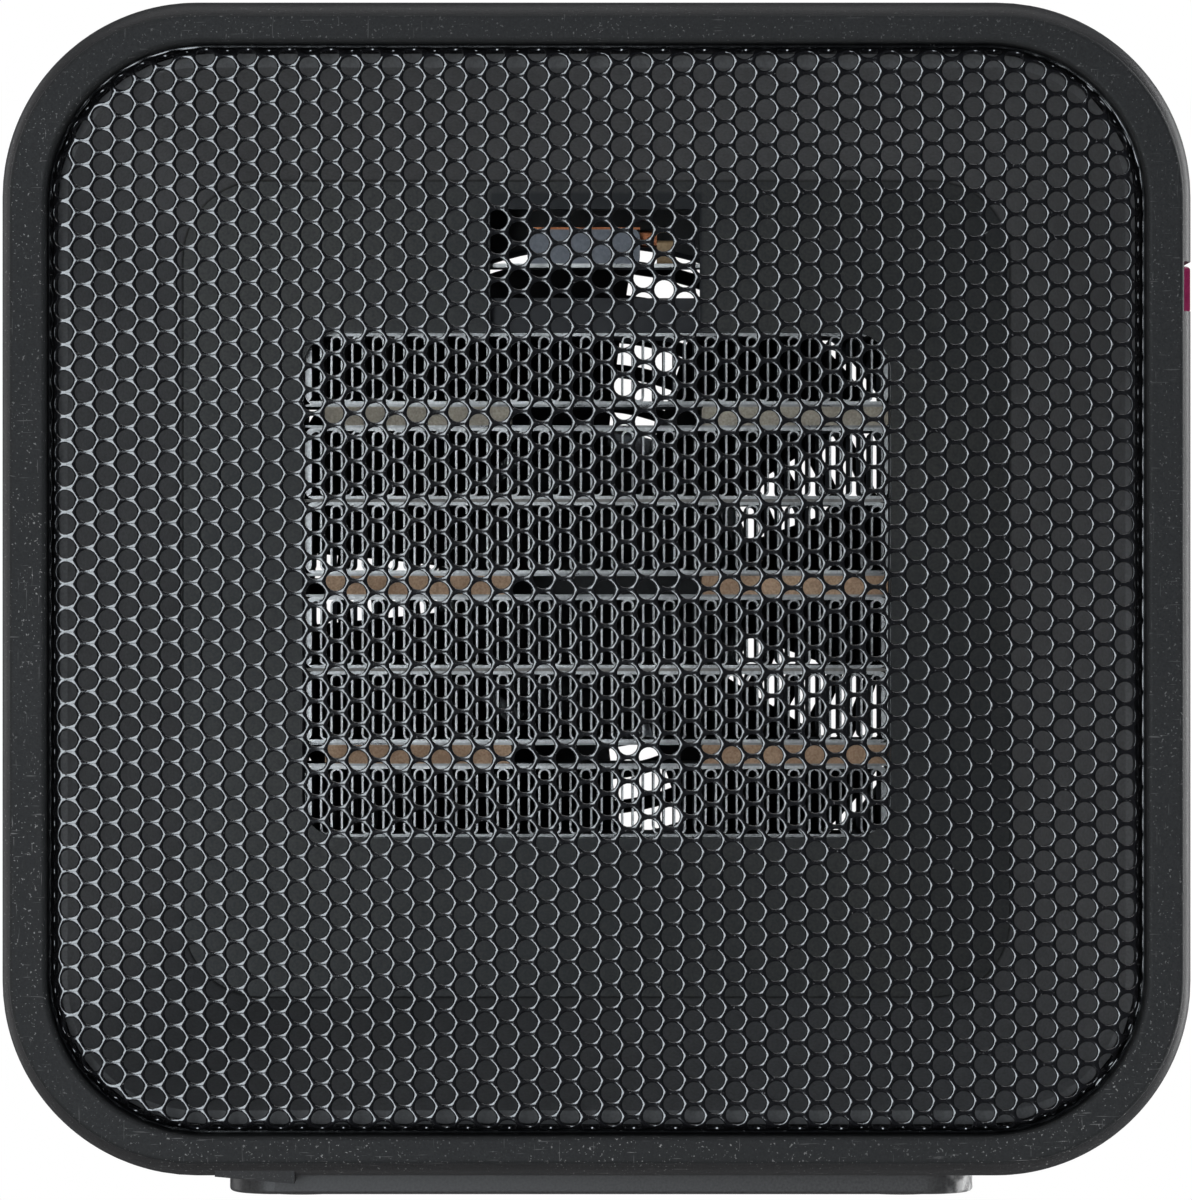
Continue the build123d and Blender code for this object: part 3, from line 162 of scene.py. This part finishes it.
def worn_plastic(name, dark, light, rough, speck_level, scratch_level, speck_amount):
    """Moulded plastic with fine grain, light specks and short scuffs, more of them to the lower left."""
    made = Surface(name, specular=0.12)
    fine = made.noise(4200, 3.0)
    broad = made.noise(60, 3.0)
    base = made.mix(made.steps(fine, 0.3, 0.7), dark, light)
    base = made.mix(made.steps(broad, 0.35, 0.75, 0.0, 0.35), base, light)
    specks = made.noise(3300, 1.0)
    dust = made.noise(45, 3.0)
    low_left = made.steps(made.math("ADD", made.axis("X"), made.axis("Z")), -0.02, 0.16, 1.0, 0.35)
    where = made.math("MULTIPLY", made.steps(dust, 0.35, 0.65, 0.25, 1.0), low_left)
    speck = made.math("MULTIPLY", made.steps(specks, speck_amount, speck_amount + 0.06), where)
    base = made.mix(made.math("MULTIPLY", speck, speck_level), base, rgb(190, 190, 190))
    scratch_a = made.noise(300, 1.0, made.mapped((1, 6, 14), (0, radians(28), 0)))
    scratch_b = made.noise(260, 1.0, made.mapped((16, 6, 1), (0, radians(-20), 0)))
    lines = made.math("MAXIMUM", made.steps(scratch_a, 0.72, 0.78), made.steps(scratch_b, 0.73, 0.79))
    scuff = made.math("MULTIPLY", lines, where)
    made.colour(made.mix(made.math("MULTIPLY", scuff, scratch_level), base, rgb(205, 205, 205)))
    made.rough(made.steps(broad, 0.3, 0.7, rough[0], rough[1]))
    made.bump(fine, 0.02 * MM, 0.6)
    return made


looks = {}
looks["casing_plastic"] = worn_plastic("casing", rgb(36, 36, 37), rgb(48, 48, 49), (0.42, 0.52), 0.3, 0.12, 0.68)
looks["rim_plastic"] = worn_plastic("rim", rgb(27, 28, 29), rgb(37, 38, 39), (0.55, 0.65), 0.45, 0.2, 0.68)
looks["shroud_plastic"] = grained("shroud", rgb(34, 34, 35), rgb(44, 44, 45), 0.4 * MM, (0.45, 0.6), 0.01 * MM)
looks["frame_plastic"] = grained("frame", rgb(20, 21, 25), rgb(30, 31, 36), 0.5 * MM, (0.5, 0.65), 0.01 * MM)
looks["fan_plastic"] = grained("fan", rgb(38, 38, 40), rgb(50, 50, 52), 0.5 * MM, (0.35, 0.5), 0.005 * MM)
looks["fin_aluminium"] = grained(
    "fins", rgb(150, 150, 150), rgb(196, 196, 195), 0.25 * MM, (0.28, 0.42), 0.01 * MM, 0.9, stretch=(1, 0.2, 1)
)
looks["contact_aluminium"] = grained(
    "contacts", rgb(128, 128, 128), rgb(164, 164, 163), 0.2 * MM, (0.25, 0.4), 0.005 * MM, 1.0, stretch=(0.1, 1, 1)
)
looks["separator_mica"] = grained("mica", rgb(104, 103, 100), rgb(136, 134, 130), 0.4 * MM, (0.4, 0.6), 0.01 * MM)
looks["strip_steel"] = grained(
    "strip", rgb(170, 170, 168), rgb(214, 213, 210), 0.2 * MM, (0.25, 0.4), 0.005 * MM, 1.0, stretch=(0.1, 1, 1)
)
looks["cutout_paint"] = grained("cutout", rgb(84, 90, 100), rgb(108, 115, 126), 0.4 * MM, (0.3, 0.5), 0.01 * MM)
looks["copper"] = grained("copper", rgb(126, 74, 50), rgb(180, 116, 82), 0.3 * MM, (0.25, 0.4), 0.005 * MM, 1.0)
looks["bead_ceramic"] = grained("bead", rgb(170, 140, 100), rgb(206, 178, 138), 0.3 * MM, (0.6, 0.8), 0.02 * MM)
looks["motor_steel"] = grained(
    "motor", rgb(150, 150, 152), rgb(190, 190, 192), 0.3 * MM, (0.3, 0.45), 0.005 * MM, 1.0, stretch=(1, 0.15, 1)
)
looks["motor_plastic"] = grained("motor_cap", rgb(40, 40, 40), rgb(54, 54, 54), 0.4 * MM, (0.5, 0.6), 0.01 * MM)
looks["magnet_ferrite"] = grained("ferrite", rgb(58, 58, 60), rgb(74, 74, 76), 0.4 * MM, (0.6, 0.75), 0.02 * MM)
looks["core_steel"] = grained(
    "laminations", rgb(110, 110, 112), rgb(150, 150, 152), 0.25 * MM, (0.4, 0.5), 0.02 * MM, 1.0, stretch=(0.1, 2, 0.1)
)
looks["bush_bronze"] = grained("bronze", rgb(150, 120, 70), rgb(184, 152, 98), 0.2 * MM, (0.35, 0.5), 0.01 * MM, 1.0)
looks["brush_carbon"] = grained("carbon", rgb(30, 30, 30), rgb(44, 44, 44), 0.2 * MM, (0.5, 0.7), 0.01 * MM)
looks["terminal_brass"] = grained(
    "brass", rgb(190, 160, 90), rgb(222, 196, 130), 0.2 * MM, (0.25, 0.4), 0.005 * MM, 1.0
)
looks["screw_steel"] = grained("screws", rgb(46, 46, 48), rgb(70, 70, 72), 0.3 * MM, (0.3, 0.45), 0.01 * MM, 1.0)
looks["pad_rubber"] = grained("pads", rgb(32, 32, 32), rgb(44, 44, 44), 0.4 * MM, (0.7, 0.85), 0.02 * MM)
looks["switch_plastic"] = grained("switch", rgb(30, 30, 30), rgb(40, 40, 40), 0.4 * MM, (0.4, 0.5), 0.01 * MM)
looks["rocker_red"] = grained("rocker", rgb(126, 26, 68), rgb(152, 42, 88), 0.8 * MM, (0.22, 0.34), 0.004 * MM)
looks["grommet_rubber"] = grained("grommet", rgb(30, 30, 30), rgb(42, 42, 42), 0.4 * MM, (0.6, 0.75), 0.02 * MM)
looks["block_plastic"] = grained("block", rgb(210, 206, 192), rgb(228, 224, 212), 0.5 * MM, (0.4, 0.5), 0.01 * MM)
looks["board_laminate"] = grained("board", rgb(150, 118, 66), rgb(178, 144, 88), 0.5 * MM, (0.4, 0.55), 0.01 * MM)
looks["diode_plastic"] = grained("diodes", rgb(24, 24, 24), rgb(36, 36, 36), 0.3 * MM, (0.3, 0.4), 0.01 * MM)

# The duct's sloping walls are grained grey, painted lighter as painted light from the side lamps; its flat floor is
# smoother and painted darker as painted shade, with a near-black painted shadow over the notch
WALL_END, FLOOR_START = -19.4 * MM, -19.1 * MM  # along Y
# limits of the near-black painted shadow on the duct floor over the notch
NOTCH_SHADOW_FULL, NOTCH_SHADOW_NONE = 13.4 * MM, 13.8 * MM  # along X, to both sides
NOTCH_SHADOW_FOOT = (108.5 * MM, 109.0 * MM)  # along Z
NOTCH_SHADOW_TOP = (127.5 * MM, 128.0 * MM)
duct = Surface("duct", specular=0.3)
duct_grain = duct.noise(2800, 3.0)
duct_broad = duct.noise(25, 2.0)
duct_floor = duct.steps(duct.axis("Y"), WALL_END, FLOOR_START)
duct_notch_shadow = duct.steps(duct.math("ABSOLUTE", duct.axis("X"), 0), NOTCH_SHADOW_FULL, NOTCH_SHADOW_NONE, 1.0, 0.0)
for limit in (
    duct.steps(duct.axis("Z"), *NOTCH_SHADOW_FOOT),
    duct_floor,
    duct.steps(duct.axis("Z"), *NOTCH_SHADOW_TOP, 1.0, 0.0),
):
    duct_notch_shadow = duct.math("MULTIPLY", duct_notch_shadow, limit)
# wall colours painted lighter (painted light) and floor colours painted darker (painted shade) on the one moulding
duct_dark = duct.mix(duct_floor, rgb(84, 85, 87), rgb(34, 36, 38))
duct_light = duct.mix(duct_floor, rgb(100, 101, 103), rgb(56, 56, 54))
duct_spots = duct.steps(duct.math("MULTIPLY", duct_grain, duct_broad), 0.15, 0.4)
duct_base = duct.mix(duct_spots, duct_dark, duct_light)
# the near-black colour here is painted shadow in the recess over the notch
duct.colour(duct.mix(duct_notch_shadow, duct_base, rgb(16, 18, 22)))
duct.rough(duct.steps(duct_floor, 0.0, 1.0, 0.55, 0.4))
duct.bump(duct_grain, 0.01 * MM)
looks["duct_plastic"] = duct

# The ceramic stones are grey in the top layer and tan below it, with paler patches
TAN_TOP, GREY_FOOT = 88 * MM, 91 * MM  # along Z, between the middle and the top layer
stone = Surface("stone", specular=0.3)
stone_grain = stone.noise(3300, 3.0)
stone_patch = stone.noise(160, 3.0)
stone_high = stone.steps(stone.axis("Z"), TAN_TOP, GREY_FOOT)
stone_dark = stone.mix(stone_high, rgb(150, 122, 98), rgb(146, 140, 128))
stone_light = stone.mix(stone_high, rgb(192, 164, 138), rgb(182, 176, 162))
stone_spots = stone.steps(stone.math("MULTIPLY", stone_grain, stone_patch), 0.15, 0.4)
stone.colour(stone.mix(stone_spots, stone_dark, stone_light))
stone.rough(stone.steps(stone_patch, 0.3, 0.7, 0.7, 0.85))
stone.bump(stone_grain, 0.03 * MM)
looks["stone_ceramic"] = stone

# The foot is satin black with a scuffed right end
RUB_START, RUB_FULL = 44.0 * MM, 47.6 * MM  # along X
foot = Surface("foot", specular=0.25)
foot_grain = foot.noise(3000, 3.0)
foot_base = foot.mix(foot.steps(foot_grain, 0.3, 0.7), rgb(50, 50, 51), rgb(66, 66, 67))
foot_end = foot.steps(foot.axis("X"), RUB_START, RUB_FULL)
foot_rub = foot.math("MULTIPLY", foot_end, foot.steps(foot.noise(700, 4.0), 0.35, 0.6))
foot.colour(foot.mix(foot_rub, foot_base, rgb(200, 200, 200)))
foot.rough(foot.steps(foot_grain, 0.3, 0.7, 0.35, 0.5))
foot.bump(foot_grain, 0.01 * MM)
looks["foot_plastic"] = foot

# The grille is gloss black enamel, a little uneven, with a few dust specks
enamel = Surface("grille_paint", specular=0.6)
peel = enamel.noise(1400, 2.0)
dust = enamel.steps(enamel.noise(2600, 2.0), 0.70, 0.76)
enamel.colour(enamel.mix(enamel.math("MULTIPLY", dust, 0.25), rgb(13, 13, 15), rgb(150, 150, 152)))
enamel.rough(enamel.steps(peel, 0.3, 0.7, 0.12, 0.2))
enamel.bump(peel, 0.004 * MM)
enamel.shader.inputs["Coat Weight"].default_value = 0.5
enamel.shader.inputs["Coat Roughness"].default_value = 0.07
looks["grille_paint"] = enamel

slot_of = {entry["node"]: entry["material_slot"] for entry in frame["record"]["subparts"]}
for name, thing in nodes.items():
    thing.data.materials.clear()
    thing.data.materials.append(looks[slot_of[name]].material)

# Softened edges on the moulded and formed pieces, with the width of each in millimetres
SHARP = radians(40)
for name, width in (
    ("main_housing", 0.15),
    ("front_bezel", 0.12),
    ("duct_panel", 0.15),
    ("rear_cover", 0.2),
    ("rocker_button", 0.12),
    ("cutout_case", 0.1),
    ("fan_impeller", 0.1),
    ("switch_body", 0.1),
    ("foot", 0.1),
):
    bevel = nodes[name].modifiers.new("softened", "BEVEL")
    bevel.width = width * MM
    bevel.segments = 2
    bevel.limit_method = "ANGLE"
    bevel.angle_limit = SHARP
    bevel.harden_normals = True

# Perforated grille: hexagonal cells round each hole, with rolled hole edges, laid over the pan's bend.
# All sizes here are millimetres.
PITCH = 3.0
COLUMN = PITCH * sqrt(3) / 2
HOLE = 1.225
SHEET = 0.6
BEND = 1.4  # outer radius
TILT = radians(0.65)
PATTERN = (-0.2, -0.12)  # the pattern's place on the sheet
COLUMNS, ROWS = range(-30, 30), range(-26, 27)  # more than the sheet takes
SEGMENTS = 18
ARC = 8  # segments of a corner of the lip
CENTRE = 76.75  # height of the front's middle
pan_low, pan_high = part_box("front_grille")
PAN_FRONT = pan_low.y / MM
LIP_BACK = pan_high.y / MM
LIP_ROUND = 2.0  # how much rounder the lip's corners are than the flat front's
OPENING = (137.8, 137.0, 20.0)  # width, height and corner radius within the bezel
GRILLE_GAP = 0.6
half_u = OPENING[0] / 2 - GRILLE_GAP - BEND
half_v = OPENING[1] / 2 - GRILLE_GAP - BEND
corner = OPENING[2] - GRILLE_GAP - BEND
straight = LIP_BACK - SHEET - PAN_FRONT - BEND
reach = BEND * pi / 2 + straight


def beyond(u, v):
    """How far (u, v) lies outside the pan's flat front, and the outward direction there."""
    past_u, past_v = abs(u) - (half_u - corner), abs(v) - (half_v - corner)
    side_u, side_v = (1 if u >= 0 else -1), (1 if v >= 0 else -1)
    if past_u > 0 and past_v > 0:
        away = sqrt(past_u * past_u + past_v * past_v)
        return away - corner, (side_u * past_u / away, side_v * past_v / away)
    if past_u > past_v:
        return past_u - corner, (side_u, 0)
    return past_v - corner, (0, side_v)


def bent(u, v, depth):
    """The place of a point of the flat sheet once its edges are bent back."""
    past, (du, dv) = beyond(u, v)
    if past <= 0:
        return (u, PAN_FRONT + depth, CENTRE + v)
    over = min(past, reach)
    angle = min(over / BEND, pi / 2)
    out = (BEND - depth) * sin(angle)
    back = BEND - (BEND - depth) * cos(angle) + max(over - BEND * pi / 2, 0)
    return (u - du * past + du * out, PAN_FRONT + back, CENTRE + v - dv * past + dv * out)


def grille_mesh():
    """The perforated sheet: a cell is kept where most of it lies on the sheet."""
    verts, faces, shared = [], [], {}

    def vertex(u, v, depth, share):
        key = (round(u, 3), round(v, 3), depth)
        if share and key in shared:
            return shared[key]
        verts.append([c * MM for c in bent(u, v, depth)])
        if share:
            shared[key] = len(verts) - 1
        return len(verts) - 1

    # Radius (none is the hexagon's edge) and depth of each ring, from the front face to the back one
    rings = [(None, 0.0), (HOLE + 0.12, 0.012), (HOLE + 0.04, 0.06), (HOLE, 0.2), (HOLE, SHEET), (None, SHEET)]
    for column in COLUMNS:
        for row in ROWS:
            x, z = (column + 0.5) * COLUMN, (row + (column % 2) / 2) * PITCH
            u = x * cos(TILT) - z * sin(TILT) + PATTERN[0]
            v = x * sin(TILT) + z * cos(TILT) + PATTERN[1]
            if beyond(u, v)[0] > reach - PITCH / 4:
                continue
            loops = []
            for radius, depth in rings:
                loop = []
                for k in range(SEGMENTS):
                    a = 2 * pi * k / SEGMENTS
                    edge = PITCH / 2 / cos((a % (pi / 3)) - pi / 6)
                    r = edge if radius is None else radius
                    a += TILT
                    loop.append(vertex(u + r * cos(a), v + r * sin(a), depth, radius is None))
                loops.append(loop)
            for first, second in zip(loops, loops[1:]):
                for k in range(SEGMENTS):
                    n = (k + 1) % SEGMENTS
                    face = (first[k], first[n], second[n], second[k])
                    if len(set(face)) == 4:
                        faces.append(face)
    return verts, faces


def lip_mesh(verts, faces):
    """The flat lip that the pan turns out into, behind the bezel's rim."""
    outer = ((pan_high.x - pan_low.x) / 2 / MM, (pan_high.z - pan_low.z) / 2 / MM, corner + LIP_ROUND)
    inner = (half_u + BEND - SHEET, half_v + BEND - SHEET, corner + BEND - SHEET)
    loops = []
    for (hu, hv, r), y in ((inner, LIP_BACK), (inner, LIP_BACK - SHEET), (outer, LIP_BACK - SHEET), (outer, LIP_BACK)):
        loop = []
        for cu, cv, start in ((1, 1, 0), (-1, 1, 90), (-1, -1, 180), (1, -1, 270)):
            for k in range(ARC + 1):
                a = radians(start + k * 90 / ARC)
                point = (cu * (hu - r) + r * cos(a), y, CENTRE + cv * (hv - r) + r * sin(a))
                verts.append([c * MM for c in point])
                loop.append(len(verts) - 1)
        loops.append(loop)
    for first, second in zip(loops, loops[1:] + loops[:1]):
        for k in range(len(first)):
            n = (k + 1) % len(first)
            faces.append((first[k], second[k], second[n], first[n]))


verts, faces = grille_mesh()
lip_mesh(verts, faces)
mesh = bpy.data.meshes.new("perforated_grille")
mesh.from_pydata(verts, [], faces)
mesh.validate()
for polygon in mesh.polygons:
    polygon.use_smooth = True
mesh.materials.append(enamel.material)
grille = bpy.data.objects.new("perforated_grille", mesh)
bpy.context.scene.collection.objects.link(grille)
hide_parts("front_grille")
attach(grille, "body")

# White floor and background, and a dim blue room for the other rays
scene = bpy.context.scene
scene.view_settings.view_transform = "Standard"


def white_to_camera(tree, lit, output, lit_socket):
    """Shows plain white to the camera and what lies behind clear gaps, and the lit shader to other rays."""
    path = tree.nodes.new("ShaderNodeLightPath")
    white = tree.nodes.new("ShaderNodeEmission" if lit_socket == "Surface" else "ShaderNodeBackground")
    white.inputs["Color"].default_value = (1, 1, 1, 1)
    choose = tree.nodes.new("ShaderNodeMixShader")
    tree.links.new(path.outputs["Is Camera Ray"], choose.inputs[0])
    tree.links.new(lit, choose.inputs[1])
    tree.links.new(white.outputs[0], choose.inputs[2])
    tree.links.new(choose.outputs[0], output)


floor_mesh = bpy.data.meshes.new("floor")
SPAN = 3.0
FLOOR_FRONT = -0.25
floor_corners = [(-SPAN, FLOOR_FRONT, 0), (SPAN, FLOOR_FRONT, 0), (SPAN, SPAN, 0), (-SPAN, SPAN, 0)]
floor_mesh.from_pydata(floor_corners, [], [(0, 1, 2, 3)])
floor = bpy.data.objects.new("floor", floor_mesh)
floor.visible_shadow = False
floor.visible_glossy = False
scene.collection.objects.link(floor)
paper = bpy.data.materials.new("paper")
paper.use_nodes = True
paper_shader = paper.node_tree.nodes["Principled BSDF"]
paper_shader.inputs["Base Color"].default_value = (0.8, 0.8, 0.8, 1)
paper_shader.inputs["Roughness"].default_value = 0.6
white_to_camera(
    paper.node_tree,
    paper_shader.outputs[0],
    paper.node_tree.nodes["Material Output"].inputs["Surface"],
    "Surface",
)
floor_mesh.materials.append(paper)

world = bpy.data.worlds.new("studio")
scene.world = world
world.use_nodes = True
room = world.node_tree.nodes["Background"]
room.inputs["Color"].default_value = (0.75, 0.87, 1, 1)
room.inputs["Strength"].default_value = 0.1
mirror = world.node_tree.nodes.new("ShaderNodeBackground")
mirror.inputs["Color"].default_value = (0.75, 0.85, 1, 1)
mirror.inputs["Strength"].default_value = 0.05
ray = world.node_tree.nodes.new("ShaderNodeLightPath")
dim = world.node_tree.nodes.new("ShaderNodeMixShader")
world.node_tree.links.new(ray.outputs["Is Glossy Ray"], dim.inputs[0])
world.node_tree.links.new(room.outputs[0], dim.inputs[1])
world.node_tree.links.new(mirror.outputs[0], dim.inputs[2])
white_to_camera(
    world.node_tree, dim.outputs[0], world.node_tree.nodes["World Output"].inputs["Surface"], "Background"
)


def softbox(name, place, aim, size, power, tint=(1, 1, 1), glossy=True, diffuse=True):
    """A rectangular soft light at place, turned to aim, which may leave out mirror or diffuse light."""
    lamp = bpy.data.lights.new(name, "AREA")
    lamp.shape = "RECTANGLE"
    lamp.size, lamp.size_y = size
    lamp.energy = power
    lamp.color = tint
    thing = bpy.data.objects.new(name, lamp)
    scene.collection.objects.link(thing)
    thing.location = place
    thing.rotation_euler = (Vector(aim) - Vector(place)).to_track_quat("-Z", "Y").to_euler()
    thing.visible_glossy = glossy
    thing.visible_diffuse = diffuse


MIDDLE = (0, -0.04, CENTRE * MM)
softbox("near_left_box", (-0.3, -1.0, 0.08), MIDDLE, (0.3, 1.1), 8.5, (0.86, 0.94, 1.0), diffuse=False)
softbox("left_side", (-0.7, -0.4, 0.1), MIDDLE, (0.3, 0.7), 3.5, (0.97, 0.99, 1.0), glossy=False)
softbox("right_side", (0.6, -0.55, 0.15), MIDDLE, (0.3, 0.7), 2.3, (0.88, 0.95, 1.0), glossy=False)
softbox("below", (-0.1, -0.42, -0.5), MIDDLE, (0.7, 0.3), 4.5, (1.0, 0.98, 0.95), glossy=False)
softbox("front_fill", (-0.2, -1.0, 0.2), MIDDLE, (0.5, 0.5), 1.5, glossy=False)
softbox("top_box", (0.0, -0.1, 0.9), MIDDLE, (0.9, 0.4), 5.0)
softbox("right_rim", (0.7, 0.25, 0.15), MIDDLE, (0.3, 0.9), 11.0)
softbox("left_rim", (-0.7, 0.25, 0.15), MIDDLE, (0.3, 0.9), 2.5)

# Camera as in the photograph: straight in front, a little off the middle of the picture
PIXEL = 0.125 * MM  # at the front face
PICTURE = 1200  # pixels
OFF_X, OFF_Y = -0.5, -11  # pixels
SENSOR = 36
DISTANCE = 0.8
FACE = -0.042
camera_data = bpy.data.cameras.new("camera")
camera_data.sensor_width = SENSOR
camera_data.lens = SENSOR * DISTANCE / (PICTURE * PIXEL)
camera_data.shift_x = OFF_X / PICTURE
camera_data.shift_y = OFF_Y / PICTURE
camera = bpy.data.objects.new("camera", camera_data)
scene.collection.objects.link(camera)
camera.location = (0, FACE - DISTANCE, CENTRE * MM)
camera.rotation_euler = (radians(90), 0, 0)
scene.camera = camera
